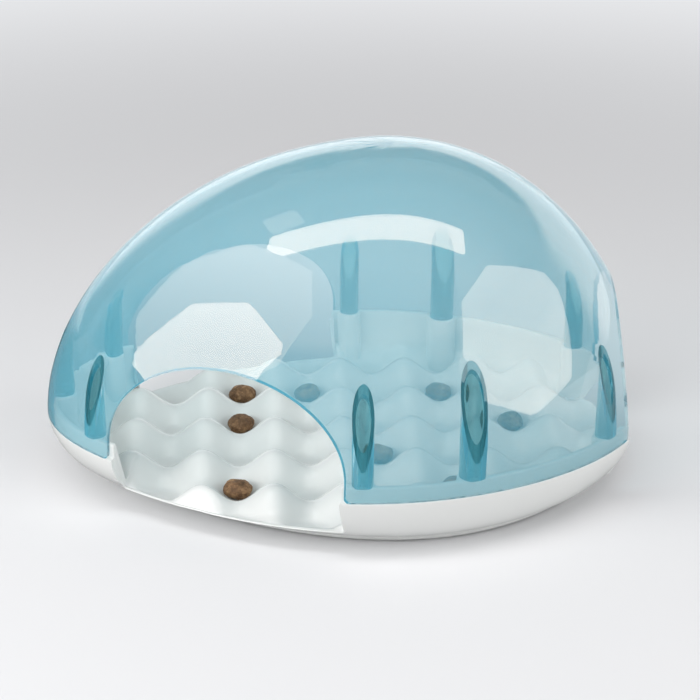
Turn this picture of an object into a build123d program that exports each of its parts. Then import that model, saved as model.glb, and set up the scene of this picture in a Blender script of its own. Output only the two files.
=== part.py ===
from build123d import *
import os
from dataclasses import dataclass, replace
from math import ceil, cos, pi, radians, sin, sqrt

# A cat slow feeder: a white bowl with an egg-crate floor under a clear blue dome.
# Millimetres. X runs along the egg-shaped plan with the blunt end at +X, Z is up,
# and the origin lies on the ground under the middle of the whole feeder.

# Every X below is measured from the rim's middle
middle_shift = 4.31         # from the feeder's middle to the rim's: the end opening shortens one side

# Plan of the rim, where the dome's outer face meets the bowl
rim_length = 269.0
rim_width = 188.4
rim_bluntness = 0.062       # moves the widest station towards +X
rim_flattening = 0.026      # draws the four diagonals in

# Plan of the foot that the bowl stands on
foot_length = 227.0
foot_width = 151.6
foot_bluntness = 0.27
foot_flattening = 0.046
foot_offset = -2.0          # the foot's middle from the rim's middle, along X

# Heights of the bowl
foot_gap = 1.0              # the rubber feet hold the foot's edge clear of the ground
foot_height = 3.0           # the foot's straight wall
hull_height = 25.2          # from the top of the foot's wall to the dome's edge
upstand_height = 6.3        # how far the upstand rises inside the dome
lip_drop = 23.5             # from the upstand's top down to the lip at each opening
lip_flat = 0.8              # level edge of the lip, outside its slope
lip_slope = 1.45            # rise of the slope behind each lip, for each millimetre inwards
lip_slope_depth = 9.0       # how far that slope reaches in from the lip's outer edge
lip_slope_start = 0.5       # the slope's cutting shape starts this far outside the slope

# Walls of the bowl
hull_wall = 2.5
upstand_wall = 2.5
hull_curve = 1.6            # the two exponents that shape the hull's side
hull_turn = 0.6
inner_start = 11.0          # the inner wall is upright for this depth below the dome's edge

# Egg-crate floor
wave_pitch = 31.3
wave_height = 8.6           # from trough to crest along either direction
wave_offset = -1.7          # X of the crest nearest to the middle
floor_drop = 22.5           # from the upstand's top to the middle height of the waves
floor_thickness = 2.2
pit_height = 2.5            # flat bottoms of the pits, above the top of the foot's wall
wave_samples = 4            # points along one wave

# Dome
dome_height = 122.5         # from its edge to its top
dome_wall = 2.2
dome_top_offset = 20.0      # X of the dome's top
dome_curve = 1.76           # exponent of the dome's side
dome_sections = 14
dome_clearance = 0.7        # between the dome's inner face and the upstand

# Arched openings: two at the sides of the narrow end and one at the blunt end
side_arch_width = 107.0
side_arch_straight = 8.3    # upright part of each jamb
side_arch_rise = 41.0       # the half ellipse above it
side_arch_x = -53.3         # middle of the opening, between its jambs
side_arch_y = 72.4
side_arch_turn = 21.5       # degrees from square across the plan, towards the narrow end
end_arch_width = 79.0
end_arch_straight = 5.6
end_arch_rise = 56.3
end_arch_x = 120.5
jamb_reveal = 2.0           # the bowl's jambs stand this far inside the dome's
dome_corner = 2.5           # round at the foot of each jamb of the dome
bowl_corner = 4.0           # round where the bowl's jamb meets its lip

# Hollow posts, which stand upright and are cut flush with the dome
large_post_diameter = 11.3
small_post_diameter = 9.0
post_wall = 1.3
post_floor = 1.8
post_margin = 1.1           # from the post's side to the rim's outline
post_fit = 0.06             # round gap between a post and its hole in the dome
post_gap = 0.25             # between a post's foot and its column
spigot_diameter = 3.2
spigot_length = 5.0
spigot_clearance = 0.25
column_margin = 1.0         # a column is this much larger than its post, all round

# Rubber feet
pad_diameter = 12.0
pad_thickness = 3.0
pad_clearance = 0.1
boss_wall = 1.5
pad_inset = 16.0            # from the foot's outline to the middle of a pad
pad_angles = {"front_wide": -52.0, "back_wide": 52.0, "front_narrow": -138.0, "back_narrow": 138.0}

# Kibbles
kibble_length = 14.0
kibble_width = 12.6
kibble_height = 8.8
kibble_gap = 0.05
# Pit of each kibble: half waves along X from the middle crest, half waves along Y, turn in degrees
kibble_pits = [
    (-3, 3, 10.0),
    (-3, 1, 65.0),
    (-3, -3, -8.0),
    (-1, 3, 40.0),
    (3, 3, -25.0),
    (1, -1, 15.0),
    (5, 1, 80.0),
    (3, -3, -50.0),
]

outline_points = 24
far = 200.0                 # reach of a cutting shape that passes everything
near = 20.0                 # reach of one that only clears the face it cuts
opening_reach = 38.0        # how far an opening's cut runs in and out from its plane


@dataclass(frozen=True)
class Egg:
    """A closed egg-shaped plan with its narrow end towards -X."""

    length: float
    width: float
    bluntness: float
    flattening: float
    offset: float = 0.0

    def inset(self, distance):
        return replace(self, length=self.length - 2 * distance, width=self.width - 2 * distance)

    def scaled(self, factor, about):
        middle = about + factor * (self.offset - about)
        return replace(self, length=factor * self.length, width=factor * self.width, offset=middle)

    def blend(self, other, share):
        def mix(a, b):
            return a + share * (b - a)

        return Egg(
            mix(self.length, other.length),
            mix(self.width, other.width),
            mix(self.bluntness, other.bluntness),
            mix(self.flattening, other.flattening),
            mix(self.offset, other.offset),
        )

    def point(self, angle):
        k = self.bluntness
        widest = (sqrt(1 + 8 * k * k) - 1) / (4 * k)
        largest = sqrt(1 - widest * widest) * (1 + k * widest)
        pull = 1 - self.flattening * sin(2 * angle) ** 2
        x = self.offset + self.length / 2 * cos(angle) * pull
        y = self.width / 2 * sin(angle) * (1 + k * cos(angle)) / largest * pull
        return Vector(x, y, 0)

    def normal(self, angle):
        step = 0.001
        along = self.point(angle + step) - self.point(angle - step)
        return Vector(along.Y, -along.X, 0).normalized()

    def inside(self, angle, distance):
        return self.point(angle) - self.normal(angle) * distance

    def wire(self, height):
        turns = [2 * pi * i / outline_points for i in range(outline_points)]
        points = [self.point(turn) + Vector(0, 0, height) for turn in turns]
        return Wire([Spline(*points, periodic=True)])

    def prism(self, low, high):
        return extrude(Face(self.wire(low)), high - low, dir=(0, 0, 1))


rim_plan = Egg(rim_length, rim_width, rim_bluntness, rim_flattening)
foot_plan = Egg(foot_length, foot_width, foot_bluntness, foot_flattening, foot_offset)

foot_top = foot_gap + foot_height
dome_edge = foot_top + hull_height
upstand_top = dome_edge + upstand_height
lip_level = upstand_top - lip_drop
floor_level = upstand_top - floor_drop
pit_level = foot_top + pit_height
upstand_inset = dome_wall + dome_clearance
inner_inset = upstand_inset + upstand_wall


def wave_height_at(x, y):
    along = cos(2 * pi * (x - wave_offset) / wave_pitch)
    across = cos(2 * pi * y / wave_pitch)
    return floor_level + wave_height / 2 * (along + across)


def floor_height_at(x, y):
    return max(pit_level, wave_height_at(x, y))


def wave_face(drop):
    """The floor's surface, lowered by drop, a little larger than the bowl."""
    step = wave_pitch / wave_samples
    columns = ceil((rim_length / 2 + wave_pitch / 2) / step)
    rows = ceil((rim_width / 2 + wave_pitch / 2) / step)
    grid = []
    for i in range(-columns, columns + 1):
        x = i * step
        grid.append([(x, j * step, wave_height_at(x, j * step) - drop) for j in range(-rows, rows + 1)])
    return Face.make_surface_from_array_of_points(grid)


def above_floor():
    return extrude(wave_face(0), far, dir=(0, 0, 1))


def below_floor():
    return extrude(wave_face(floor_thickness), far, dir=(0, 0, -1))


def hull_share(depth_share):
    """How far the hull has drawn in from the rim's plan to the foot's, from 0 to 1."""
    return 1 - (1 - depth_share ** hull_curve) ** hull_turn


def hull_plan(height):
    return rim_plan.blend(foot_plan, hull_share((dome_edge - height) / hull_height))


def hull_outside():
    """The bowl as a full solid, without its upstand."""
    shares = [0.0, 0.12, 0.26, 0.4, 0.54, 0.67, 0.79, 0.89, 0.96, 1.0]
    sections = []
    for share in shares:
        height = dome_edge - share * hull_height
        sections.append(hull_plan(height).wire(height))
    return Solid.make_loft(sections) + foot_plan.prism(foot_gap, foot_top)


def hull_inside():
    """The space inside the bowl's wall, down to the flat bottoms of the pits."""
    top_plan = rim_plan.inset(inner_inset)
    bottom_plan = foot_plan.inset(hull_wall)
    start = dome_edge - inner_start
    bottom = pit_level
    shares = [0.0, 0.2, 0.4, 0.58, 0.74, 0.88, 1.0]
    sections = []
    for share in shares:
        plan = top_plan.blend(bottom_plan, hull_share(share))
        sections.append(plan.wire(start - share * (start - bottom)))
    return Solid.make_loft(sections) + top_plan.prism(start, upstand_top + near)


def opening_plane(name):
    """Plane of an opening: its X runs level along the opening and its Y is up."""
    if name == "end":
        return Plane(origin=(end_arch_x, 0, dome_edge), x_dir=(0, 1, 0), z_dir=(1, 0, 0))
    side = -1 if name == "front" else 1
    out = Vector(-sin(radians(side_arch_turn)), side * cos(radians(side_arch_turn)), 0)
    level = Vector(0, 0, 1).cross(out)
    return Plane(origin=(side_arch_x, side * side_arch_y, dome_edge), x_dir=level, z_dir=out)


def arch_cutter(name):
    """The solid that cuts one arch through the dome."""
    if name == "end":
        half, straight, rise = end_arch_width / 2, end_arch_straight, end_arch_rise
    else:
        half, straight, rise = side_arch_width / 2, side_arch_straight, side_arch_rise
    r = dome_corner
    outline = [
        Line((half + r, -near), (half + r, 0)),
        ThreePointArc((half + r, 0), (half + r * (1 - sqrt(0.5)), r * (1 - sqrt(0.5))), (half, r)),
        Line((half, r), (half, straight)),
        EllipticalCenterArc((0, straight), half, rise, 0, arc_size=180),
        Line((-half, straight), (-half, r)),
        ThreePointArc((-half, r), (-half - r * (1 - sqrt(0.5)), r * (1 - sqrt(0.5))), (-half - r, 0)),
        Line((-half - r, 0), (-half - r, -near)),
        Line((-half - r, -near), (half + r, -near)),
    ]
    return extrude(opening_plane(name) * make_face(outline), opening_reach, both=True)


def bowl_cutter(name):
    """The solid that lowers the bowl's wall to its lip at one opening."""
    width = end_arch_width if name == "end" else side_arch_width
    half = width / 2 - jamb_reveal
    low = lip_level - dome_edge
    high = upstand_height + near
    profile = make_face(Polyline((-half, low), (half, low), (half, high), (-half, high), close=True))
    lower = profile.vertices().group_by(Axis.Y)[0]
    profile = fillet(lower, bowl_corner)
    return extrude(opening_plane(name) * profile, opening_reach, both=True)


def lip_mound(depth):
    """What the slope behind each lip leaves standing, cut away by depth square to the slope."""
    plan = hull_plan(lip_level).inset(lip_flat + depth * sqrt(1 + lip_slope ** 2) / lip_slope)
    low = plan.inset(-lip_slope_start).wire(lip_level - lip_slope_start * lip_slope)
    high = plan.inset(lip_slope_depth).wire(lip_level + lip_slope_depth * lip_slope)
    return Solid.make_loft([low, high])


openings = ["front", "back", "end"]


@dataclass(frozen=True)
class Post:
    """A post by its station along the rim, as an angle round the plan."""

    name: str
    angle: float
    diameter: float

    @property
    def centre(self):
        return rim_plan.inside(radians(self.angle), self.diameter / 2 + post_margin)

    def cylinder(self, extra, low, high):
        """An upright cylinder on the post's axis, larger all round by extra."""
        body = Solid.make_cylinder(self.diameter / 2 + extra, high - low)
        return Pos(self.centre.X, self.centre.Y, low) * body


posts = [
    Post("post_tip", 180.0, large_post_diameter),
    Post("post_front_left", -148.5, small_post_diameter),
    Post("post_back_left", 148.5, small_post_diameter),
    Post("post_front_middle", -88.5, small_post_diameter),
    Post("post_back_middle", 88.5, small_post_diameter),
    Post("post_front_wide", -67.5, large_post_diameter),
    Post("post_back_wide", 67.5, large_post_diameter),
    Post("post_front_right", -31.0, small_post_diameter),
    Post("post_back_right", 31.0, small_post_diameter),
]

post_foot = upstand_top + post_gap


def socket(post):
    radius = spigot_diameter / 2 + spigot_clearance
    depth = spigot_length + spigot_clearance
    hole = Solid.make_cylinder(radius, depth + post_gap)
    return Pos(post.centre.X, post.centre.Y, upstand_top - depth) * hole


def pad_centre(angle):
    return foot_plan.inside(radians(angle), pad_inset)


def pad_boss(angle):
    radius = pad_diameter / 2 + pad_clearance + boss_wall
    centre = pad_centre(angle)
    return Pos(centre.X, centre.Y, foot_gap) * Solid.make_cylinder(radius, floor_level)


def pad_recess(angle):
    centre = pad_centre(angle)
    hole = Solid.make_cylinder(pad_diameter / 2 + pad_clearance, pad_thickness + pad_clearance)
    return Pos(centre.X, centre.Y, 0) * hole


def make_base_tray():
    upstand = rim_plan.inset(upstand_inset).prism(dome_edge - hull_wall, upstand_top)
    inside = hull_inside()
    cutters = [bowl_cutter(name) for name in openings]
    air = (inside + cutters) & above_floor()
    for cutter in cutters:
        air = air + (cutter - lip_mound(0))
    for post in posts:
        air = air - post.cylinder(column_margin, 0, upstand_top)
    under = (foot_plan.inset(hull_wall).prism(-near, floor_level) + inside) & below_floor()
    for cutter in cutters:
        under = under - (cutter - lip_mound(floor_thickness))
    for angle in pad_angles.values():
        under = under - pad_boss(angle)
    tray = hull_outside() + upstand
    tray = tray - air
    tray = tray - under
    for post in posts:
        tray = tray - socket(post)
    for angle in pad_angles.values():
        tray = tray - pad_recess(angle)
    return tray


def dome_solid(inset):
    """The full dome, drawn in everywhere by inset."""
    plan = rim_plan.inset(inset)
    height = dome_height - inset
    sections = []
    for i in range(dome_sections):
        rise = sin(pi / 2 * i / dome_sections)
        factor = sqrt(1 - rise ** dome_curve)
        sections.append(plan.scaled(factor, dome_top_offset).wire(dome_edge + rise * height))
    sections.append(Vertex(dome_top_offset, 0, dome_edge + height))
    return Solid.make_loft(sections)


def make_dome_cover():
    shell = dome_solid(0) - dome_solid(dome_wall)
    for name in openings:
        shell = shell - arch_cutter(name)
    for post in posts:
        shell = shell - post.cylinder(post_fit, post_foot - post_gap, dome_edge + dome_height)
    return shell


def make_post(post, outside):
    """One post: a closed tube, cut flush with the dome, with a spigot under its foot."""
    tube = post.cylinder(0, post_foot, dome_edge + dome_height) & outside
    bore = post.cylinder(-post_wall, post_foot + post_floor, dome_edge + dome_height + near)
    spigot = Solid.make_cylinder(spigot_diameter / 2, spigot_length + post_floor / 2)
    return tube - bore + Pos(post.centre.X, post.centre.Y, post_foot - spigot_length) * spigot


def make_pad(angle):
    centre = pad_centre(angle)
    return Pos(centre.X, centre.Y, 0) * Solid.make_cylinder(pad_diameter / 2, pad_thickness)


def kibble_rest_height(x, y, turn):
    """Height of a kibble's middle when it just touches the floor round its pit."""
    highest = 0.0
    steps = 24
    for i in range(1, steps):
        radius = i / steps
        drop = kibble_height / 2 * sqrt(1 - radius * radius)
        for j in range(steps):
            angle = 2 * pi * j / steps
            u = kibble_length / 2 * radius * cos(angle)
            v = kibble_width / 2 * radius * sin(angle)
            px = x + u * cos(turn) - v * sin(turn)
            py = y + u * sin(turn) + v * cos(turn)
            highest = max(highest, floor_height_at(px, py) + drop)
    return highest + kibble_gap


def make_kibble(pit):
    half_x, half_y, turn = pit
    x = wave_offset + half_x * wave_pitch / 2
    y = half_y * wave_pitch / 2
    z = kibble_rest_height(x, y, radians(turn))
    squash = (kibble_length / 2, kibble_width / 2, kibble_height / 2)
    body = scale(Solid.make_sphere(1.0), by=squash)
    return Pos(x, y, z) * Rot(0, 0, turn) * body


def save(name, shape):
    export_step(Pos(middle_shift, 0, 0) * shape, f"parts/{name}.step")


def main():
    os.makedirs("parts", exist_ok=True)
    save("base_tray", make_base_tray())
    save("dome_cover", make_dome_cover())
    outside = dome_solid(0)
    for post in posts:
        save(post.name, make_post(post, outside))
    for name, angle in pad_angles.items():
        save(f"rubber_foot_{name}", make_pad(angle))
    for number, pit in enumerate(kibble_pits, 1):
        save(f"kibble_{number}", make_kibble(pit))


main()
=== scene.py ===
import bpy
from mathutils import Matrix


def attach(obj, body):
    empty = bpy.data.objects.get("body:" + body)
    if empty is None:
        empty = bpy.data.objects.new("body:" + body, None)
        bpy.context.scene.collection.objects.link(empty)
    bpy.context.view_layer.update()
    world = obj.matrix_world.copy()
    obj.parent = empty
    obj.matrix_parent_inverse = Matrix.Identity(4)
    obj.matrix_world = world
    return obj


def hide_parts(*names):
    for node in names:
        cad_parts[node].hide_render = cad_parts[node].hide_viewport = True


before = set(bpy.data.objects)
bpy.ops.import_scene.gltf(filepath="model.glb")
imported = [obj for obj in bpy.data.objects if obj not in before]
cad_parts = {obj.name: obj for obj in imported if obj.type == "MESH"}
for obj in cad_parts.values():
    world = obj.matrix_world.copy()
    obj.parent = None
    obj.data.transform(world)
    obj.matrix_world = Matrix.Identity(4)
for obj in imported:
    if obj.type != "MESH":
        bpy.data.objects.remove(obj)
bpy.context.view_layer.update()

import logging
import math
from dataclasses import astuple, dataclass, field, replace
from enum import Enum

import bmesh
import bpy
import numpy as np
from bpy.types import ID, Material, Node, NodeSocket, NodeTree, Object
from mathutils import Matrix, Vector, noise

log = logging.getLogger("feeder")

MM = 0.001
"""Metres in a millimetre: the classes keep their sizes in millimetres unless they say otherwise."""

NOWHERE = -50.0
"""A depth, in millimetres, for places that a column or an opening doesn't reach."""

Array = np.ndarray
Point = tuple[float, float, float]
Colour = tuple[float, float, float]
Pairs = tuple[tuple[float, float], ...]


class Rays(Enum):
    """The kinds of ray that a lamp or a sky treats apart, by their Light Path outputs."""

    CAMERA = "Is Camera Ray"
    GLOSSY = "Is Glossy Ray"
    TRANSMISSION = "Is Transmission Ray"
    SHADOW = "Is Shadow Ray"
    DIFFUSE = "Is Diffuse Ray"


class Mixed(Enum):
    """What is mixed: the node, its settings, the places of its two inputs and the place of its output."""

    VALUES = ("ShaderNodeMix", {"data_type": "FLOAT"}, 2, 3, 0)
    COLOURS = ("ShaderNodeMix", {"data_type": "RGBA"}, 6, 7, 2)
    SHADERS = ("ShaderNodeMixShader", {}, 1, 2, 0)


@dataclass
class Shader:
    """A material's node tree, with short calls for adding and joining nodes."""

    tree: NodeTree

    def add(self, kind: str, inputs: dict[str | int, object] | None = None, **settings: object) -> Node:
        """Adds a node.

        Args:
            kind: the node's Blender type.
            inputs: values, or sockets to link, for its inputs by their name or place.
            settings: the node's own properties.

        Returns:
            The new node.
        """
        node = self.tree.nodes.new(kind)
        for key, value in settings.items():
            setattr(node, key, value)
        for socket, value in (inputs or {}).items():
            target = node.inputs[socket]
            if isinstance(value, NodeSocket):
                self.tree.links.new(value, target)
            elif target.type == "RGBA":
                target.default_value = (*value, 1.0)
            else:
                target.default_value = value
        return node

    def mix(self, kind: Mixed, share: object, first: object, second: object) -> NodeSocket:
        """Mixes two values, two colours or two shaders.

        Args:
            kind: what is mixed.
            share: 0 for the first, 1 for the second.
            first: the first one.
            second: the second one.

        Returns:
            The mix's socket.
        """
        node, settings, first_place, second_place, out_place = kind.value
        inputs = {0: share, first_place: first, second_place: second}
        return self.add(node, inputs, **settings).outputs[out_place]

    def remap(self, value: object, before: tuple[object, object], after: tuple[object, object],
              easing: str = "LINEAR") -> NodeSocket:
        """Maps one range of values to another.

        Args:
            value: the value's socket.
            before: the two ends of its range.
            after: what they become.
            easing: the way between them, by Blender's name.

        Returns:
            The new value's socket.
        """
        names = ("Value", "From Min", "From Max", "To Min", "To Max")
        inputs = dict(zip(names, (value, *before, *after)))
        return self.add("ShaderNodeMapRange", inputs, interpolation_type=easing).outputs[0]

    def any_ray(self, *kinds: Rays) -> NodeSocket:
        """Builds a value that is 1 for any of the given kinds of ray.

        Args:
            kinds: the rays to pick out.

        Returns:
            The socket with the value.
        """
        path = self.add("ShaderNodeLightPath")
        found = path.outputs[kinds[0].value]
        for kind in kinds[1:]:
            pair = {0: found, 1: path.outputs[kind.value]}
            found = self.add("ShaderNodeMath", pair, operation="MAXIMUM").outputs[0]
        return found


def linked(name: str, data: ID) -> Object:
    """Makes an object in the scene.

    Args:
        name: its name.
        data: its mesh or camera.

    Returns:
        The object.
    """
    made = bpy.data.objects.new(name, data)
    bpy.context.scene.collection.objects.link(made)
    return made


def smooth_piece(name: str, form: bmesh.types.BMesh, material: Material) -> Object:
    """Makes a smooth object from a form, and frees the form.

    Args:
        name: the object's name.
        form: its form.
        material: its finish.

    Returns:
        The object.
    """
    mesh = bpy.data.meshes.new(name)
    form.to_mesh(mesh)
    form.free()
    mesh.shade_smooth()
    mesh.materials.append(material)
    return linked(name, mesh)


def new_material(name: str) -> tuple[Material, Shader]:
    """Makes an empty node material.

    Args:
        name: the material's name.

    Returns:
        The material and its shader tree.
    """
    material = bpy.data.materials.new(name)
    material.use_nodes = True
    material.node_tree.nodes.clear()
    return material, Shader(material.node_tree)


def moulded_skin() -> NodeTree:
    """Builds the group that both plastics share: a slightly uneven polish and a fine grain.

    Returns:
        The group, with inputs Scale, Smoothest, Roughest and Grain, and outputs Roughness, Shade and Height.
    """
    group = bpy.data.node_groups.get("moulded_skin")
    if group:
        return group
    group = bpy.data.node_groups.new("moulded_skin", "ShaderNodeTree")
    for name, start in (("Scale", 30.0), ("Smoothest", 0.2), ("Roughest", 0.3), ("Grain", 900.0)):
        group.interface.new_socket(name, in_out="INPUT", socket_type="NodeSocketFloat").default_value = start
    for name in ("Roughness", "Shade", "Height"):
        group.interface.new_socket(name, in_out="OUTPUT", socket_type="NodeSocketFloat")
    shader = Shader(group)
    given = shader.add("NodeGroupInput").outputs
    place = shader.add("ShaderNodeTexCoord").outputs["Object"]
    cloud = shader.add("ShaderNodeTexNoise", {"Vector": place, "Scale": given["Scale"], "Detail": 3.0}).outputs["Fac"]
    grain = shader.add("ShaderNodeTexNoise", {"Vector": place, "Scale": given["Grain"]}).outputs["Fac"]
    polish = shader.remap(cloud, (0.3, 0.7), (given["Smoothest"], given["Roughest"]))
    shader.add("NodeGroupOutput", {"Roughness": polish, "Shade": cloud, "Height": grain})
    return group


@dataclass(frozen=True)
class GlossyPlastic:
    """Opaque moulded plastic with a smooth skin. The depth of its grain is in millimetres."""

    name: str
    colour: Colour
    smoothest: float = 0.18
    roughest: float = 0.24
    grain: float = 0.03
    grain_depth: float = 0.1
    dullest: float = 0.98
    ior: float = 1.49

    def material(self) -> Material:
        """Builds the finish.

        Returns:
            The material.
        """
        material, shader = new_material(self.name)
        polish = {"Smoothest": self.smoothest, "Roughest": self.roughest}
        skin = shader.add("ShaderNodeGroup", polish, node_tree=moulded_skin()).outputs
        dull = tuple(self.dullest * c for c in self.colour)
        relief = {"Height": skin["Height"], "Strength": self.grain, "Distance": self.grain_depth * MM}
        body = shader.add("ShaderNodeBsdfPrincipled", {
            "Base Color": shader.mix(Mixed.COLOURS, skin["Shade"], dull, self.colour),
            "Roughness": skin["Roughness"],
            "Normal": shader.add("ShaderNodeBump", relief).outputs[0],
            "IOR": self.ior,
        })
        shader.add("ShaderNodeOutputMaterial", {"Surface": body.outputs[0]})
        return material


@dataclass(frozen=True)
class ClearPlastic:
    """See-through plastic: glossy on its face, with a blue haze in it, and deeper where it is thick.

    Its mirror tint is warm, because over the blue haze that gives white reflections.
    """

    name: str
    clear_colour: Colour
    haze_colour: Colour
    haze: float
    depth_colour: Colour
    depth: float
    lamp_tint: Colour
    ior: float = 1.68
    shine: float = 1.0
    mirror_tint: Colour = (1.0, 0.72, 0.58)
    smoothest: float = 0.008
    roughest: float = 0.03

    def material(self) -> Material:
        """Builds the finish, which lets the lamps' light through to what it covers.

        Returns:
            The material.
        """
        material, shader = new_material(self.name)
        polish = {"Smoothest": self.smoothest, "Roughest": self.roughest}
        skin = shader.add("ShaderNodeGroup", polish, node_tree=moulded_skin())
        clear, haze = (shader.add("ShaderNodeBsdfPrincipled", {
            "Base Color": colour,
            "Transmission Weight": transmission,
            "IOR": self.ior,
            "Specular IOR Level": self.shine,
            "Specular Tint": self.mirror_tint,
            "Roughness": skin.outputs["Roughness"],
        }).outputs[0] for colour, transmission in ((self.clear_colour, 1.0), (self.haze_colour, 0.0)))
        plastic = shader.mix(Mixed.SHADERS, self.haze, clear, haze)
        open_way = shader.add("ShaderNodeBsdfTransparent", {"Color": self.lamp_tint}).outputs[0]
        surface = shader.mix(Mixed.SHADERS, shader.any_ray(Rays.SHADOW, Rays.DIFFUSE), plastic, open_way)
        inside = shader.add("ShaderNodeVolumeAbsorption", {"Color": self.depth_colour, "Density": self.depth})
        shader.add("ShaderNodeOutputMaterial", {"Surface": surface, "Volume": inside.outputs[0]})
        return material


@dataclass(frozen=True)
class BakedFood:
    """The kibbles' dry, pitted brown crust. The depth of its relief is in millimetres."""

    name: str
    dark: Colour = (0.072, 0.033, 0.012)
    middle: Colour = (0.205, 0.103, 0.044)
    light: Colour = (0.54, 0.32, 0.155)
    stops: tuple[float, float, float] = (0.36, 0.5, 0.68)
    grain_scale: float = 520.0
    patch_scale: float = 170.0
    patch_share: float = 0.35
    roughness: float = 0.62
    relief: float = 0.7
    relief_depth: float = 0.8

    def material(self) -> Material:
        """Builds the finish.

        Returns:
            The material.
        """
        material, shader = new_material(self.name)
        place = shader.add("ShaderNodeTexCoord").outputs["Object"]
        fine = {"Vector": place, "Scale": self.grain_scale, "Detail": 8.0, "Roughness": 0.72}
        grain = shader.add("ShaderNodeTexNoise", fine).outputs["Fac"]
        coarse = {"Vector": place, "Scale": self.patch_scale, "Detail": 2.0}
        patch = shader.add("ShaderNodeTexNoise", coarse).outputs["Fac"]
        ramp = shader.add("ShaderNodeValToRGB", {0: shader.mix(Mixed.VALUES, self.patch_share, grain, patch)})
        low, high = ramp.color_ramp.elements
        low.position, low.color = self.stops[0], (*self.dark, 1)
        high.position, high.color = self.stops[2], (*self.light, 1)
        middle = ramp.color_ramp.elements.new(self.stops[1])
        middle.color = (*self.middle, 1)
        relief = {"Height": grain, "Strength": self.relief, "Distance": self.relief_depth * MM}
        body = shader.add("ShaderNodeBsdfPrincipled", {
            "Base Color": ramp.outputs[0],
            "Roughness": self.roughness,
            "Normal": shader.add("ShaderNodeBump", relief).outputs[0],
        })
        shader.add("ShaderNodeOutputMaterial", {"Surface": body.outputs[0]})
        return material


@dataclass(frozen=True)
class Viewpoint:
    """The camera, as found from the photograph.

    Angles are in degrees. Lengths are in millimetres, apart from clip, which is in metres.
    """

    target: Point = (7.81, 0.0, 35.5)
    distance: float = 836.0
    down: float = 25.9
    azimuth: float = -2.14
    roll: float = 0.47
    lens: float = 95.3
    sensor: float = 36.0
    shift: tuple[float, float] = (-0.0071, 0.0566)
    clip: tuple[float, float] = (0.01, 20.0)

    def build(self) -> None:
        """Places the camera and makes it the scene's own."""
        a, e, r = (math.radians(v) for v in (self.azimuth, self.down, self.roll))
        ahead = Vector((-math.sin(a) * math.cos(e), math.cos(a) * math.cos(e), -math.sin(e)))
        right = Vector((math.cos(a), math.sin(a), 0.0))
        up = Vector((-math.sin(a) * math.sin(e), math.cos(a) * math.sin(e), math.cos(e)))
        turned_right = right * math.cos(r) + up * math.sin(r)
        turned_up = up * math.cos(r) - right * math.sin(r)
        data = bpy.data.cameras.new("camera")
        data.sensor_width = self.sensor
        data.lens = self.lens
        data.shift_x, data.shift_y = self.shift
        data.clip_start, data.clip_end = self.clip
        camera = linked("camera", data)
        matrix = Matrix((turned_right, turned_up, -ahead)).transposed().to_4x4()
        matrix.translation = (Vector(self.target) - ahead * self.distance) * MM
        camera.matrix_world = matrix
        bpy.context.scene.camera = camera


@dataclass(frozen=True)
class SoftBox:
    """A flat lamp with cut corners, facing the feeder. Lengths in metres.

    It is turned about its own middle, in degrees, and its lower edge is longer than the upper one at both ends.
    """

    name: str
    towards: Point
    distance: float
    width: float
    height: float
    corner: float
    strength: float
    turn: float = 0.0
    longer: float = 0.0

    def build(self, aim: Vector) -> None:
        """Makes the lamp as a glowing panel that the camera doesn't see.

        Args:
            aim: the point it faces.
        """
        w, h, c = self.width / 2, self.height / 2, self.corner
        low = w + self.longer
        half = [(low - c, -h), (low, c - h), (w, h - c), (w - c, h)]
        outline = half + [(-x, y) for x, y in reversed(half)]
        mesh = bpy.data.meshes.new(self.name)
        mesh.from_pydata([(x, y, 0.0) for x, y in outline], [], [tuple(range(len(outline)))])
        panel = linked(self.name, mesh)
        out = Vector(self.towards).normalized()
        rotation = out.to_track_quat("Z", "Y").to_matrix() @ Matrix.Rotation(math.radians(self.turn), 3, "Z")
        panel.matrix_world = Matrix.Translation(aim + out * self.distance) @ rotation.to_4x4()
        material, shader = new_material(self.name)
        glow = shader.add("ShaderNodeEmission", {"Strength": self.strength})
        shader.add("ShaderNodeOutputMaterial", {"Surface": glow.outputs[0]})
        mesh.materials.append(material)
        panel.visible_camera = panel.visible_shadow = False


@dataclass(frozen=True)
class TwoSided:
    """A level that changes from the feeder's front to behind it.

    It changes along Y, between near and far. Lean is how much X counts beside Y.
    """

    front: float
    behind: float
    near: float
    far: float
    lean: float = 0.0

    def build(self, shader: Shader, place: NodeSocket) -> NodeSocket:
        """Builds the level's nodes.

        Args:
            shader: the tree to build them in.
            place: the place or direction that decides.

        Returns:
            The level's socket.
        """
        along = shader.add("ShaderNodeVectorMath", {0: place, 1: (self.lean, 1.0, 0.0)}, operation="DOT_PRODUCT")
        levels = (self.front, self.behind)
        return shader.remap(along.outputs["Value"], (self.near, self.far), levels, easing="SMOOTHSTEP")


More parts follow.
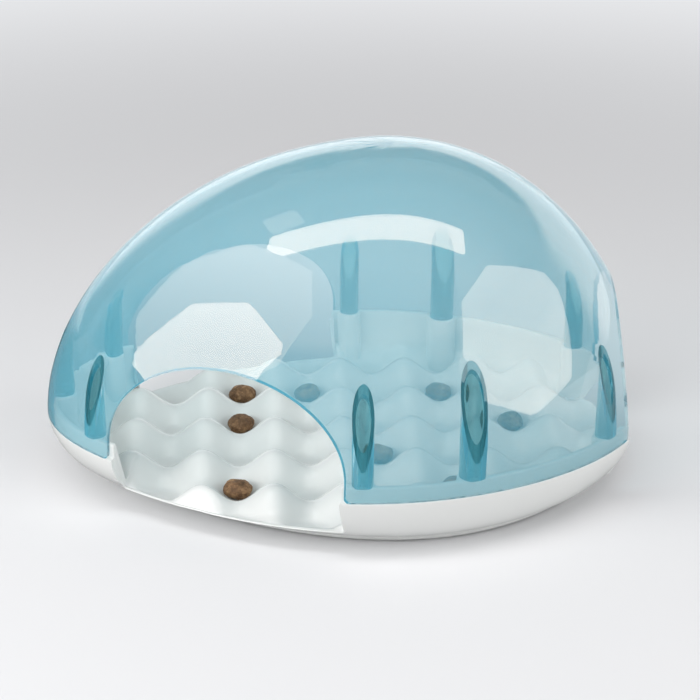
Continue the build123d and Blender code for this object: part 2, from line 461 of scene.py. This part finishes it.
@dataclass
class Studio:
    """A pale floor, a plain sky and soft lamps. Lengths in metres."""

    viewpoint: Viewpoint = Viewpoint()
    floor_colour: Colour = (0.80, 0.80, 0.81)
    backdrop_colour: Colour = (0.86, 0.87, 0.89)
    floor_reach: float = 8.0
    floor_near: float = 0.3
    floor_far: float = 1.1
    sky: float = 0.35
    backdrop_top: float = 0.46
    backdrop_blur: float = 0.05
    mirrored_floor: TwoSided = TwoSided(0.25, 1.0, 0.0, 0.3, lean=0.7)
    mirrored_wall: TwoSided = TwoSided(0.4, 1.75, 0.45, 0.72, lean=0.35)
    mirrored_ceiling: TwoSided = TwoSided(1.0, 0.3, -0.5, 0.1)
    aim: Point = (0.0, 0.0, 0.07)
    lamps: tuple[SoftBox, ...] = (
        SoftBox("lamp_left", (-0.72, -0.42, 0.55), 1.05, 1.10, 0.9, 0.26, 1.6),
        SoftBox("lamp_left_core", (-0.774, -0.532, 0.342), 0.95, 0.82, 0.58, 0.26, 4.55, turn=19.0),
        SoftBox("lamp_right", (0.82, -0.45, 0.32), 1.0, 1.02, 0.78, 0.33, 2.6, turn=16.0),
        SoftBox("lamp_top", (0.012, -0.235, 0.96), 1.1, 1.38, 0.265, 0.02, 4.45, turn=-7.0, longer=0.065),
        SoftBox("lamp_small", (-0.44, 0.035, 0.9), 1.1, 0.21, 0.165, 0.02, 1.1, turn=14.0),
    )

    def build(self) -> None:
        """Builds the floor, the sky, the lamps and the camera."""
        self.viewpoint.build()
        self.build_floor()
        self.build_sky()
        for lamp in self.lamps:
            lamp.build(Vector(self.aim))
        bpy.context.scene.view_settings.view_transform = "Standard"

    def build_floor(self) -> None:
        """Lays the floor under the feeder; away from it the floor runs into the pale backdrop."""
        mesh = bpy.data.meshes.new("floor")
        reach = self.floor_reach
        corners = [(-reach, -reach, 0), (reach, -reach, 0), (reach, reach, 0), (-reach, reach, 0)]
        mesh.from_pydata(corners, [], [(0, 1, 2, 3)])
        floor = linked("floor", mesh)
        material, shader = new_material("floor")
        place = shader.add("ShaderNodeTexCoord").outputs["Object"]
        body = shader.add("ShaderNodeBsdfDiffuse", {"Color": self.floor_colour}).outputs[0]
        backdrop = shader.add("ShaderNodeEmission", {"Color": self.backdrop_colour}).outputs[0]
        far = shader.add("ShaderNodeVectorMath", {0: place}, operation="LENGTH").outputs["Value"]
        share = shader.remap(far, (self.floor_near, self.floor_far), (0.0, 1.0), easing="SMOOTHSTEP")
        seen = shader.mix(Mixed.SHADERS, share, body, backdrop)
        glow = {"Color": self.backdrop_colour, "Strength": self.mirrored_floor.build(shader, place)}
        mirrored = shader.add("ShaderNodeEmission", glow).outputs[0]
        surface = shader.mix(Mixed.SHADERS, shader.any_ray(Rays.GLOSSY), seen, mirrored)
        shader.add("ShaderNodeOutputMaterial", {"Surface": surface})
        mesh.materials.append(material)

    def build_sky(self) -> None:
        """Makes the room: plain where it is seen, and with a wall and a ceiling where it is only mirrored."""
        world = bpy.data.worlds.new("sky")
        world.use_nodes = True
        world.node_tree.nodes.clear()
        shader = Shader(world.node_tree)
        way = shader.add("ShaderNodeTexCoord").outputs["Generated"]
        height = shader.add("ShaderNodeSeparateXYZ", {0: way}).outputs["Z"]
        blur = (self.backdrop_top - self.backdrop_blur, self.backdrop_top + self.backdrop_blur)
        levels = (self.mirrored_wall.build(shader, way), self.mirrored_ceiling.build(shader, way))
        mirrored = shader.remap(height, blur, levels, easing="SMOOTHSTEP")
        bounced = shader.mix(Mixed.VALUES, shader.any_ray(Rays.GLOSSY, Rays.TRANSMISSION), self.sky, mirrored)
        level = shader.mix(Mixed.VALUES, shader.any_ray(Rays.CAMERA), bounced, 1.0)
        back = shader.add("ShaderNodeBackground", {"Color": self.backdrop_colour, "Strength": level})
        shader.add("ShaderNodeOutputWorld", {"Surface": back.outputs[0]})
        bpy.context.scene.world = world


def nodes_named(start: str) -> list[str]:
    """Finds the CAD nodes whose names begin so, in order."""
    return sorted(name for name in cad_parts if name.startswith(start))


def dress(start: str, material: Material) -> None:
    """Gives CAD nodes a finish.

    Args:
        start: how their names begin.
        material: the finish.
    """
    for name in nodes_named(start):
        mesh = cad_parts[name].data
        mesh.materials.clear()
        mesh.materials.append(material)
        log.info("dressed %s", name)


def smooth_step(value: Array) -> Array:
    """Eases each value from 0 at its start to 1 at its end."""
    v = np.clip(value, 0, 1)
    return v * v * (3 - 2 * v)


def unit(way: Array) -> Array:
    """Makes directions one long."""
    return way / np.linalg.norm(way, axis=-1, keepdims=True)


def dot(a: Array, b: Array) -> Array:
    """Finds how far each first one reaches along its second."""
    return np.einsum("ij,ij->i", a, b)


def round_max(a: Array, b: Array | float, width: float) -> Array:
    """Takes the larger of two values, with the crease between them rounded over the given width."""
    return 0.5 * (a + b + np.sqrt((a - b) ** 2 + width**2))


@dataclass(frozen=True)
class Egg:
    """A closed egg-shaped plan with its narrow end towards -X."""

    length: float
    width: float
    bluntness: float
    flattening: float
    offset: float = 0.0

    def inset(self, distance: float) -> "Egg":
        """Draws the plan in by a distance, all round."""
        return replace(self, length=self.length - 2 * distance, width=self.width - 2 * distance)

    def points(self, turns: Array) -> Array:
        """Finds the outline.

        Args:
            turns: angles round the plan, in radians.

        Returns:
            One X and Y for each angle.
        """
        k = self.bluntness
        widest = (math.sqrt(1 + 8 * k * k) - 1) / (4 * k)
        largest = math.sqrt(1 - widest * widest) * (1 + k * widest)
        pull = 1 - self.flattening * np.sin(2 * turns) ** 2
        x = self.offset + self.length / 2 * np.cos(turns) * pull
        y = self.width / 2 * np.sin(turns) * (1 + k * np.cos(turns)) / largest * pull
        return np.stack([x, y], -1)

    def inwards(self, turns: Array, nudge: float = 0.001) -> Array:
        """Finds the unit directions that point in, square to the outline, from its run a nudge to each side."""
        along = unit(self.points(turns + nudge) - self.points(turns - nudge))
        return np.stack([-along[..., 1], along[..., 0]], -1)


@dataclass(frozen=True)
class Opening:
    """One paw opening: its middle, the way it faces in degrees from +X, and half its width in the bowl.

    Reach is how far it goes before and behind its middle, and jamb the width over which the wall comes down, with
    a round edge above and a fillet below.
    """

    middle: tuple[float, float]
    facing: float
    half_width: float
    reach: float = 38.0
    jamb: float = 0.35
    edge: float = 0.8
    fillet: float = 1.8

    @property
    def out(self) -> Array:
        """The direction that it faces."""
        turn = math.radians(self.facing)
        return np.array([math.cos(turn), math.sin(turn)])

    def past_jamb(self, place: Array) -> Array:
        """Measures how far each place lies inside the jambs, below 0 outside them.

        Args:
            place: X and Y of each place.

        Returns:
            The distances.
        """
        apart = place - np.array(self.middle)
        level = np.array([-self.out[1], self.out[0]])
        return np.where(np.abs(apart @ self.out) < self.reach, self.half_width - np.abs(apart @ level), NOWHERE)

    def share(self, place: Array, drop: float) -> Array:
        """Tells how far the wall has come down at each place.

        Args:
            place: X and Y of each place.
            drop: height of the jamb.

        Returns:
            0 where the wall stands, 1 where it is down at the lip.
        """
        past = self.past_jamb(place)
        steep = np.clip(past / self.jamb, 0, 1)
        above = self.edge - np.sqrt(self.edge**2 - np.clip(past + self.edge, 0, self.edge) ** 2)
        below = np.clip(self.fillet + self.jamb - past, 0, self.fillet)
        below = self.fillet - np.sqrt(self.fillet**2 - below**2)
        return (above * (1 - steep) + (drop - below) * steep) / drop


@dataclass(frozen=True)
class Hull:
    """The bowl's outside, from its foot ring up to the ledge that the cover stands on.

    The two powers shape its curve: the first near the ledge, the second near the foot.
    """

    rim: Egg = Egg(269.0, 188.4, 0.062, 0.026)
    foot: Egg = Egg(227.0, 151.6, 0.27, 0.046, -2.0)
    foot_low: float = 1.0
    foot_top: float = 4.0
    edge: float = 29.2
    powers: tuple[float, float] = (1.6, 0.6)

    def between(self, upper: Egg, lower: Egg, depth: float) -> Egg:
        """Finds a plan between two others, as the hull draws in.

        Args:
            upper: the plan at the top.
            lower: the plan at the foot.
            depth: share of the way down.

        Returns:
            The plan between them.
        """
        first, second = self.powers
        share = 1 - (1 - min(1.0, max(0.0, depth)) ** first) ** second
        return Egg(*(a + share * (b - a) for a, b in zip(astuple(upper), astuple(lower))))

    def plan(self, height: float) -> Egg:
        """Finds the outline at a height."""
        return self.between(self.rim, self.foot, (self.edge - height) / (self.edge - self.foot_top))


@dataclass(frozen=True)
class Crate:
    """The floor: egg-crate waves with flat bottoms in their pits."""

    middle: float = 13.0
    height: float = 8.6
    pitch: float = 31.3
    offset: float = -1.7
    pit: float = 6.5
    pit_round: float = 1.0
    sink: float = 0.1
    thickness: float = 2.2

    def heights(self, place: Array) -> tuple[Array, Array]:
        """Finds the heights of the floor and of its underside.

        Args:
            place: X and Y of each place.

        Returns:
            The floor's heights and the underside's.
        """
        along = np.cos(2 * np.pi * (place[..., 0] - self.offset) / self.pitch)
        across = np.cos(2 * np.pi * place[..., 1] / self.pitch)
        wave = self.middle + self.height / 2 * (along + across)
        return round_max(wave, self.pit, self.pit_round) - self.sink, wave - self.thickness


@dataclass(frozen=True)
class Columns:
    """The columns under the posts. Each post has its angle round the rim, in degrees, and its diameter."""

    posts: Pairs = (
        (180.0, 11.3), (-148.5, 9.0), (148.5, 9.0), (-88.5, 9.0), (88.5, 9.0),
        (-67.5, 11.3), (67.5, 11.3), (-31.0, 9.0), (31.0, 9.0),
    )
    from_rim: float = 1.1
    margin: float = 1.0
    socket_radius: float = 1.85
    socket_depth: float = 5.25

    def centres(self, rim: Egg) -> list[tuple[Array, float]]:
        """Finds where the columns stand.

        Args:
            rim: the bowl's rim.

        Returns:
            Each column's middle and radius.
        """
        found = []
        for angle, diameter in self.posts:
            turn = np.array([math.radians(angle)])
            centre = rim.points(turn) + rim.inwards(turn) * (diameter / 2 + self.from_rim)
            found.append((centre[0], diameter / 2 + self.margin))
        return found


@dataclass(frozen=True)
class Spacing:
    """The distances between the mesh's points round the bowl, and how near a column or a jamb they hold."""

    samples: int = 20000
    wide: float = 1.6
    column: float = 0.9
    column_reach: float = 3.0
    column_edge: float = 0.6
    edge_reach: float = 1.5
    jamb: float = 0.3
    jamb_reach: tuple[float, float] = (-1.5, 5.5)

    def angles(self, bowl: "Bowl") -> Array:
        """Chooses the angles: close together at jambs and columns, wide apart elsewhere.

        Args:
            bowl: the bowl.

        Returns:
            The angles, in radians.
        """
        fine = np.linspace(-math.pi, math.pi, self.samples + 1)[:-1]
        place = bowl.hull.rim.points(fine)
        step = np.linalg.norm(np.roll(place, -1, 0) - place, axis=1)
        spacing = np.full(len(fine), self.wide)
        for centre, radius in bowl.columns.centres(bowl.hull.rim):
            apart = np.linalg.norm(place - centre, axis=1)
            spacing = np.where(apart < radius + self.column_reach, self.column, spacing)
            spacing = np.where(np.abs(apart - radius) < self.edge_reach, self.column_edge, spacing)
        for opening in bowl.openings:
            past = opening.past_jamb(place)
            near = (past > self.jamb_reach[0]) & (past < self.jamb_reach[1])
            spacing = np.where(near, self.jamb, spacing)
        run = np.concatenate([[0.0], np.cumsum(step / spacing)])
        count = int(round(run[-1]))
        return np.interp(np.arange(count) * run[-1] / count, run, np.append(fine, math.pi))


@dataclass
class Lines:
    """The lines that the skin's points lie on, one from each place on the rim.

    They run their own way in, and past their bend onward to their goal. Depth is counted along them, from the rim.
    Crossings are found in rounds, each with a small turn, the nudge.
    """

    turns: Array
    rim: Array
    way: Array
    goal: Array
    bend: float
    rounds: int = 5
    nudge: float = 1e-4
    onward: Array = field(init=False)
    reach: Array = field(init=False)

    def __post_init__(self) -> None:
        """Finds each line's direction past its bend, and its whole length."""
        rest = self.goal - (self.rim + self.way * self.bend)
        self.onward = unit(rest)
        self.reach = self.bend + np.linalg.norm(rest, axis=1)

    def at(self, depth: Array, bent: bool = True) -> Array:
        """Finds X and Y at one depth for each line, which runs straight on past its bend unless bent."""
        first = np.minimum(depth, self.bend) if bent else depth
        return self.rim + self.way * first[:, None] + self.onward * (depth - first)[:, None]

    def depth_of(self, plan: Egg) -> Array:
        """Finds the depth at which each line crosses a plan.

        Args:
            plan: the plan.

        Returns:
            One depth for each line.
        """
        across = np.stack([self.way[:, 1], -self.way[:, 0]], -1)
        found = self.turns.copy()
        for _ in range(self.rounds):
            side = dot(plan.points(found) - self.rim, across)
            rate = (dot(plan.points(found + self.nudge) - self.rim, across) - side) / self.nudge
            found = found - side / rate
        return dot(plan.points(found) - self.rim, self.way)


@dataclass
class Section:
    """The bowl's wall as the lines cut it: how deep its inner side lies, and how high its skin is."""

    bowl: "Bowl"
    lines: Lines
    levels: Array = field(init=False)
    wall: Array = field(init=False)
    inner: Array = field(init=False)
    square: Array = field(init=False)
    lip_depth: Array = field(init=False)
    round_end: Array = field(init=False)

    def __post_init__(self) -> None:
        """Finds the inner side's depth at each level, without and with the columns, and the lip's depth."""
        bowl, lines = self.bowl, self.lines
        pit, start = bowl.floor.pit, bowl.inner_start
        upper, lower = bowl.hull.rim.inset(bowl.ledge + bowl.wall), bowl.hull.foot.inset(bowl.wall)
        self.levels = np.linspace(pit, bowl.top, bowl.levels)
        plans = [bowl.hull.between(upper, lower, (start - z) / (start - pit)) for z in self.levels]
        self.wall = np.stack([lines.depth_of(plan) for plan in plans], 1)
        column = self.past_column()[:, None]
        self.inner = np.where(column > 0, round_max(self.wall, column, bowl.column_round), self.wall)
        self.square = dot(lines.way, bowl.hull.rim.inwards(lines.turns))
        self.lip_depth = lines.depth_of(bowl.hull.plan(bowl.lip))
        self.round_end = self.wall[:, 0] + bowl.round_width

    def past_column(self) -> Array:
        """Finds the depth at which each line comes out of a column.

        Returns:
            The depths, or NOWHERE for lines that miss the columns.
        """
        depth, way = self.wall[:, -1], self.lines.way
        found = np.full(len(depth), NOWHERE)
        for centre, radius in self.bowl.columns.centres(self.bowl.hull.rim):
            apart = self.lines.at(depth) - centre
            b = dot(apart, way)
            c = dot(apart, apart) - radius**2
            leaves = depth - b + np.sqrt(np.maximum(b * b - c, 0))
            found = np.where(c < 0, np.maximum(found, leaves), found)
        return found

    def inner_at(self, height: float) -> Array:
        """Finds how deep the wall's inner side lies, with the columns.

        Args:
            height: the height.

        Returns:
            One depth for each line.
        """
        first, last, steps = self.levels[0], self.levels[-1], len(self.levels) - 1
        # just short of the last level, so that one more level always follows
        place = min(max((height - first) / (last - first) * steps, 0), steps - 0.001)
        low = int(place)
        share = place - low
        return self.inner[:, low] * (1 - share) + self.inner[:, low + 1] * share

    def face(self, depth: Array) -> Array:
        """Finds the height of the wall's inner side, without the columns, running on below the floor."""
        found = np.array([np.interp(d, w[::-1], self.levels[::-1]) for d, w in zip(depth, self.wall)])
        return found - np.maximum(depth - self.wall[:, 0], 0)

    def over_floor(self, depth: Array, height: Array | float, width: float) -> Array:
        """Finds the height of a wall's skin, which turns into the floor in a round of the given width."""
        return round_max(self.bowl.floor.heights(self.lines.at(depth))[0], height, width)

    def lowered(self, depth: Array) -> Array:
        """Finds the height of the skin in an opening.

        Args:
            depth: one depth for each line.

        Returns:
            The heights.
        """
        bowl = self.bowl
        apart = (depth - self.lip_depth) * self.square
        slope = bowl.lip + bowl.lip_slope * np.maximum(apart - bowl.lip_flat, 0)
        body = self.over_floor(depth, np.minimum(self.face(depth), bowl.lip), bowl.fillet)
        # turned over, the rounded maximum is a rounded minimum
        height = -round_max(-body, -slope, bowl.lip_round)
        near = 1 - smooth_step((apart - bowl.lip_hold) / bowl.lip_fade)
        return height + near * np.maximum(np.minimum(body, bowl.lip) - bowl.lip_sink - height, 0)


@dataclass
class Skin:
    """The bowl's skin as rows of points, from under the foot over the wall to the floor's middle.

    The tables list rows by their inset and rise (foot_edge), by their inset and height (ledge), or by their
    distance and drop before the inner side (crown).
    """

    section: Section
    under_rings: int = 18
    foot_chamfer: float = 0.3
    foot_edge: Pairs = ((0.5, 0.0), (0.12, 0.2), (0.0, 0.6))
    hull_inset: float = 0.04
    low_hull: tuple[float, ...] = (4.0, 4.2, 4.6, 5.3, 6.2, 7.2, 8.3, 9.4, 10.4, 11.0)
    high_hull: tuple[float, ...] = (11.5, 12.2, 13.2, 14.6, 16.2, 18.0, 20.0, 22.0, 24.0, 26.0, 27.6, 28.6, 29.0)
    ledge: Pairs = (
        (0.1, 29.15), (0.35, 29.2), (1.6, 29.2), (2.6, 29.2), (2.85, 29.3), (2.9, 29.6), (2.9, 32.0),
        (2.9, 34.5), (2.98, 35.0), (3.2, 35.35), (3.6, 35.5),
    )
    top_shares: tuple[float, float] = (0.33, 0.66)
    crown: Pairs = ((0.8, 0.0), (0.4, 0.1), (0.1, 0.4), (0.0, 0.9))
    inner_rows: int = 9
    first_inner: float = 0.12
    inner_round: float = 0.3
    inner_sink: float = 0.1
    round_rows: int = 15
    lip_width: float = 3.0
    lip_power: float = 1.3
    lip_edge: float = 0.7
    floor_rings: int = 54

    def row(self, depth: Array, height: Array | float, bent: bool = True) -> Array:
        """Makes a row of places, X, Y and Z, from one depth for each line and one height for each or all."""
        return np.column_stack([self.section.lines.at(depth, bent), np.full(len(depth), height)])

    def along(self, plan: Egg, height: float) -> Array:
        """Makes a row of places, X, Y and Z, along a plan at a height."""
        return self.row(self.section.lines.depth_of(plan), height, bent=False)

    def low_rows(self) -> list[Array]:
        """Makes the rows of the floor's underside and of the foot ring, up to where the openings begin.

        Returns:
            The rows.
        """
        bowl, lines = self.section.bowl, self.section.lines
        hull, foot = bowl.hull, bowl.hull.foot
        edge = lines.at(lines.depth_of(foot.inset(bowl.wall)), bent=False)
        rows = []
        for k in range(self.under_rings, 0, -1):
            place = edge + (lines.goal - edge) * (k / self.under_rings)
            rows.append(np.column_stack([place, bowl.floor.heights(place)[1]]))
        roof, low = bowl.floor.heights(edge)[1], hull.foot_low + self.foot_chamfer
        rows += [np.column_stack([edge, roof + (low - roof) * share]) for share in (0.0, 0.5, 1.0)]
        for inset, rise in ((bowl.wall - self.foot_chamfer, 0.0), *self.foot_edge):
            rows.append(self.along(foot.inset(inset), hull.foot_low + rise))
        return rows + [self.along(hull.plan(z).inset(self.hull_inset), z) for z in self.low_hull]

    def wall_rows(self) -> list[Array]:
        """Makes the rows over a wall that stands, down to where its inner side turns into the floor.

        Returns:
            The rows.
        """
        section, bowl = self.section, self.section.bowl
        rows = [self.along(bowl.hull.plan(z).inset(self.hull_inset), z) for z in self.high_hull]
        rows += [self.along(bowl.hull.rim.inset(inset), z) for inset, z in self.ledge]
        begin, crown = section.lines.depth_of(bowl.hull.rim.inset(self.ledge[-1][0])), section.inner_at(bowl.top)
        rows += [self.row(begin + (crown - self.crown[0][0] - begin) * share, bowl.top) for share in self.top_shares]
        rows += [self.row(crown - inset, bowl.top - drop) for inset, drop in self.crown]
        high = bowl.top - self.crown[-1][1]
        for share in np.linspace(self.first_inner, 1.0, self.inner_rows):
            height = high + (bowl.inner_foot - high) * share
            depth = section.inner_at(height)
            rows.append(self.row(depth, section.over_floor(depth, height, self.inner_round) - self.inner_sink))
        return rows

    def pairs(self) -> list[tuple[Array, Array]]:
        """Makes every row.

        Returns:
            For each row its places with the wall standing, and its places in an opening.
        """
        section, lines = self.section, self.section.lines
        start, end, lip = section.inner_at(section.bowl.inner_foot), section.round_end, section.lip_depth
        found = [(row, row) for row in self.low_rows()]
        raised = self.wall_rows()
        count = len(raised)
        for share in np.linspace(0.0, 1.0, self.round_rows + 1)[1:]:
            depth = start + (end - start) * share
            raised.append(self.row(depth, section.over_floor(depth, section.face(depth), section.bowl.fillet)))
        down = np.maximum(start, lip + self.lip_width)
        for k, row in enumerate(raised, 1):
            depth = lip + (down - lip) * min(1.0, k / count) ** self.lip_power
            depth = depth + (end - down) * max(0.0, (k - count) / self.round_rows)
            before = np.clip(1 - (depth - lip) * section.square / self.lip_edge, 0, 1)
            drop = self.lip_edge * (1 - np.sqrt(1 - before**2))
            found.append((row, self.row(depth, section.lowered(depth) - drop)))
        for k in range(1, self.floor_rings + 1):
            depth = end + (lines.reach - end) * (k / self.floor_rings)
            floor = section.bowl.floor.heights(lines.at(depth))[0]
            found.append((self.row(depth, floor), self.row(depth, section.lowered(depth))))
        return found

    def points(self) -> Array:
        """Lays out all rows, and lowers them in the openings.

        Returns:
            X, Y and Z by angle and row.
        """
        bowl = self.section.bowl
        closed, opened = (np.stack(rows, 1) for rows in zip(*self.pairs()))
        share = np.zeros(closed.shape[:2])
        for opening in bowl.openings:
            share = np.maximum(share, opening.share(closed[..., :2], bowl.top - bowl.lip))
        return closed + (opened - closed) * share[..., None]


@dataclass
class Bowl:
    """The white bowl, as one moulding with rounded edges, and the rubber feet under it.

    Heights are counted from the table. Pads and the middle line go by angles in degrees, the latter with the X that
    the lines run to. Shift moves the whole bowl along X.
    """

    finish: GlossyPlastic
    rubber: GlossyPlastic
    shift: float = 4.31
    hull: Hull = Hull()
    floor: Crate = Crate()
    columns: Columns = Columns()
    spacing: Spacing = Spacing()
    openings: tuple[Opening, ...] = (
        Opening((-53.3, -72.4), -111.5, 51.5),
        Opening((-53.3, 72.4), 111.5, 51.5),
        Opening((120.5, 0.0), 0.0, 37.5),
    )
    top: float = 35.5
    ledge: float = 2.9
    wall: float = 2.5
    inner_start: float = 18.2
    inner_foot: float = 17.2
    levels: int = 117
    fillet: float = 1.2
    round_width: float = 3.0
    column_round: float = 0.9
    lip: float = 12.0
    lip_flat: float = 0.8
    lip_slope: float = 1.45
    lip_round: float = 2.6
    lip_sink: float = 0.35
    lip_hold: float = 1.0
    lip_fade: float = 2.5
    jamb_hold: float = 7.0
    jamb_fade: float = 18.0
    bend: float = 17.0
    middle_line: Pairs = ((0.0, 66.0), (22.0, 62.0), (60.0, 48.0), (93.0, 29.0), (141.0, -72.0), (180.0, -92.0))
    pads: tuple[float, ...] = (-52.0, 52.0, -138.0, 138.0)
    pad_inset: float = 16.0
    pad_radius: float = 6.1
    pad_top: float = 3.1
    boss_radius: float = 7.6
    boss_sink: float = 1.0
    bar_sides: int = 48
    clearance: float = 5.0
    same_point: float = 0.01
    shortest_edge: float = 0.005
    sharp_angle: float = 50.0

    def lines(self) -> Lines:
        """Draws the lines in from the rim; near a jamb they run along it.

        Returns:
            The lines.
        """
        turns = self.spacing.angles(self)
        rim = self.hull.rim.points(turns)
        along = np.interp(np.abs(np.degrees(turns)), *zip(*self.middle_line))
        goal = np.stack([along, np.zeros(len(turns))], -1)
        way = unit(goal - rim)
        for opening in self.openings:
            near = 1 - smooth_step((np.abs(opening.past_jamb(rim)) - self.jamb_hold) / self.jamb_fade)
            way = unit(way * (1 - near[:, None]) - opening.out * near[:, None])
        return Lines(turns, rim, way, goal, self.bend)

    def combine(self, piece: Object, bars: list[tuple[Array, float, float, float]], operation: str) -> None:
        """Joins upright round bars to the bowl, or cuts them from it.

        Args:
            piece: the bowl.
            bars: the middle, the radius, the foot's height and the top's height of each.
            operation: UNION or DIFFERENCE.
        """
        form = bmesh.new()
        for centre, radius, low, high in bars:
            middle = Vector((centre[0] + self.shift, centre[1], (low + high) / 2)) * MM
            bmesh.ops.create_cone(form, cap_ends=True, segments=self.bar_sides, radius1=radius * MM,
                                  radius2=radius * MM, depth=(high - low) * MM, matrix=Matrix.Translation(middle))
        mesh = bpy.data.meshes.new("bars")
        form.to_mesh(mesh)
        form.free()
        step = piece.modifiers.new("bars", "BOOLEAN")
        step.object, step.operation, step.solver = linked("bars", mesh), operation, "EXACT"
        made = bpy.data.meshes.new_from_object(piece.evaluated_get(bpy.context.evaluated_depsgraph_get()))
        bpy.data.objects.remove(step.object)
        piece.modifiers.clear()
        piece.data = made

    def fit_out(self, piece: Object) -> None:
        """Adds the rings that hold the rubber feet, and sinks the sockets for the posts' spigots.

        Args:
            piece: the bowl.
        """
        added, cut = [], []
        foot, columns = self.hull.foot, self.columns
        around = np.linspace(0, 2 * math.pi, self.bar_sides, endpoint=False)
        for angle in self.pads:
            turn = np.array([math.radians(angle)])
            centre = (foot.points(turn) + foot.inwards(turn) * self.pad_inset)[0]
            edge = centre + self.boss_radius * np.stack([np.cos(around), np.sin(around)], -1)
            boss_top = float(self.floor.heights(edge)[0].min()) - self.boss_sink
            added.append((centre, self.boss_radius, self.hull.foot_low, boss_top))
            cut.append((centre, self.pad_radius, 0.0, self.pad_top))
        for centre, _ in columns.centres(self.hull.rim):
            cut.append((centre, columns.socket_radius, self.top - columns.socket_depth, self.top + self.clearance))
        self.combine(piece, added, "UNION")
        self.combine(piece, cut, "DIFFERENCE")
        piece.data.shade_smooth()
        piece.data.set_sharp_from_angle(angle=math.radians(self.sharp_angle))

    def build(self) -> None:
        """Builds the bowl and dresses its feet."""
        points = Skin(Section(self, self.lines())).points() + np.array([self.shift, 0.0, 0.0])
        around, rows = points.shape[:2]
        sides = [(i * rows + k, (i + 1) % around * rows + k) for i in range(around) for k in range(rows - 1)]
        faces = [(left, left + 1, right + 1, right) for left, right in sides]
        skin = bpy.data.meshes.new("skin")
        skin.from_pydata((points.reshape(-1, 3) * MM).tolist(), [], faces)
        form = bmesh.new()
        form.from_mesh(skin)
        bmesh.ops.remove_doubles(form, verts=form.verts, dist=self.same_point * MM)
        bmesh.ops.dissolve_degenerate(form, edges=form.edges, dist=self.shortest_edge * MM)
        bmesh.ops.recalc_face_normals(form, faces=form.faces)
        piece = smooth_piece("bowl", form, self.finish.material())
        self.fit_out(piece)
        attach(piece, "base")
        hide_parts("base_tray")
        log.info("built the bowl: %d faces", len(piece.data.polygons))
        dress("rubber_foot", self.rubber.material())


@dataclass
class Dome:
    """The clear cover and the hollow posts that stand in it."""

    finish: ClearPlastic
    post_finish: ClearPlastic

    def build(self) -> None:
        """Dresses the cover and its posts."""
        dress("dome_cover", self.finish.material())
        dress("post_", self.post_finish.material())


@dataclass
class Kibbles:
    """The dry food in the bowl: lumpy, cracked pieces, no two alike.

    The depths of lumps, cracks and grain are shares of a kibble's size. Each one starts steps further in the pattern.
    """

    finish: BakedFood
    detail: int = 5
    lump: float = 0.10
    lump_scale: float = 1.6
    crack: float = 0.05
    crack_scale: float = 3.4
    crack_steepness: float = 7.0
    grain: float = 0.025
    grain_scale: float = 9.0
    least: float = 0.7
    seed: int = 11
    steps: tuple[float, float] = (7.3, 3.1)

    def shape(self, name: str, number: int, material: Material) -> None:
        """Builds one kibble inside the space of its CAD node.

        Args:
            name: the node that it stands for.
            number: its place in the row of kibbles, which sets its own bumps.
            material: its finish.
        """
        corners = np.array([v.co[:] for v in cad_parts[name].data.vertices])
        centre = (corners.min(0) + corners.max(0)) / 2
        axes = np.linalg.svd(corners - centre, full_matrices=False)[2]
        half = np.abs((corners - centre) @ axes.T).max(0)
        form = bmesh.new()
        bmesh.ops.create_icosphere(form, subdivisions=self.detail, radius=1.0)
        offset = Vector((self.seed + self.steps[0] * number, self.steps[1] * number, 0.0))
        for vert in form.verts:
            way = vert.co.normalized()
            lumps = noise.noise(way * self.lump_scale + offset)
            seams = abs(noise.noise(way * self.crack_scale + offset * 2))
            grains = noise.fractal(way * self.grain_scale + offset, 0.9, 2.1, 4)
            cracks = self.crack * max(0.0, 1 - self.crack_steepness * seams)
            reach = 1 - self.lump * (0.5 - lumps) - cracks - self.grain * (1 - grains)
            size = min(1.0, max(self.least, reach))
            vert.co = Vector(centre + size * (np.array(way) * half) @ axes)
        piece = smooth_piece(name + "_crust", form, material)
        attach(piece, "base")
        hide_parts(name)

    def build(self) -> None:
        """Builds every kibble in place of its plain node."""
        material = self.finish.material()
        for number, name in enumerate(nodes_named("kibble")):
            self.shape(name, number, material)
            log.info("built %s", name)


def main() -> None:
    """Builds the studio and the feeder, piece by piece."""
    logging.basicConfig(level=logging.INFO, format="%(message)s")
    Studio().build()
    Bowl(
        finish=GlossyPlastic("white_plastic", (0.76, 0.77, 0.755)),
        rubber=GlossyPlastic("rubber", (0.10, 0.10, 0.105), smoothest=0.65, roughest=0.75, grain=0.3),
    ).build()
    Dome(
        finish=ClearPlastic(
            name="clear_blue",
            clear_colour=(0.88, 0.76, 0.695),
            haze_colour=(0.17, 0.74, 0.98),
            haze=0.205,
            depth_colour=(0.72, 0.87, 0.9),
            depth=190.0,
            lamp_tint=(0.94, 0.95, 0.95),
        ),
        post_finish=ClearPlastic(
            name="clear_blue_post",
            clear_colour=(0.33, 0.60, 0.65),
            haze_colour=(0.04, 0.30, 0.36),
            haze=0.22,
            depth_colour=(0.2, 0.6, 0.68),
            depth=60.0,
            lamp_tint=(0.8, 0.92, 0.94),
            shine=0.8,
            mirror_tint=(1.0, 1.0, 1.0),
        ),
    ).build()
    Kibbles(finish=BakedFood("kibble")).build()


if __name__ == "__main__":
    main()
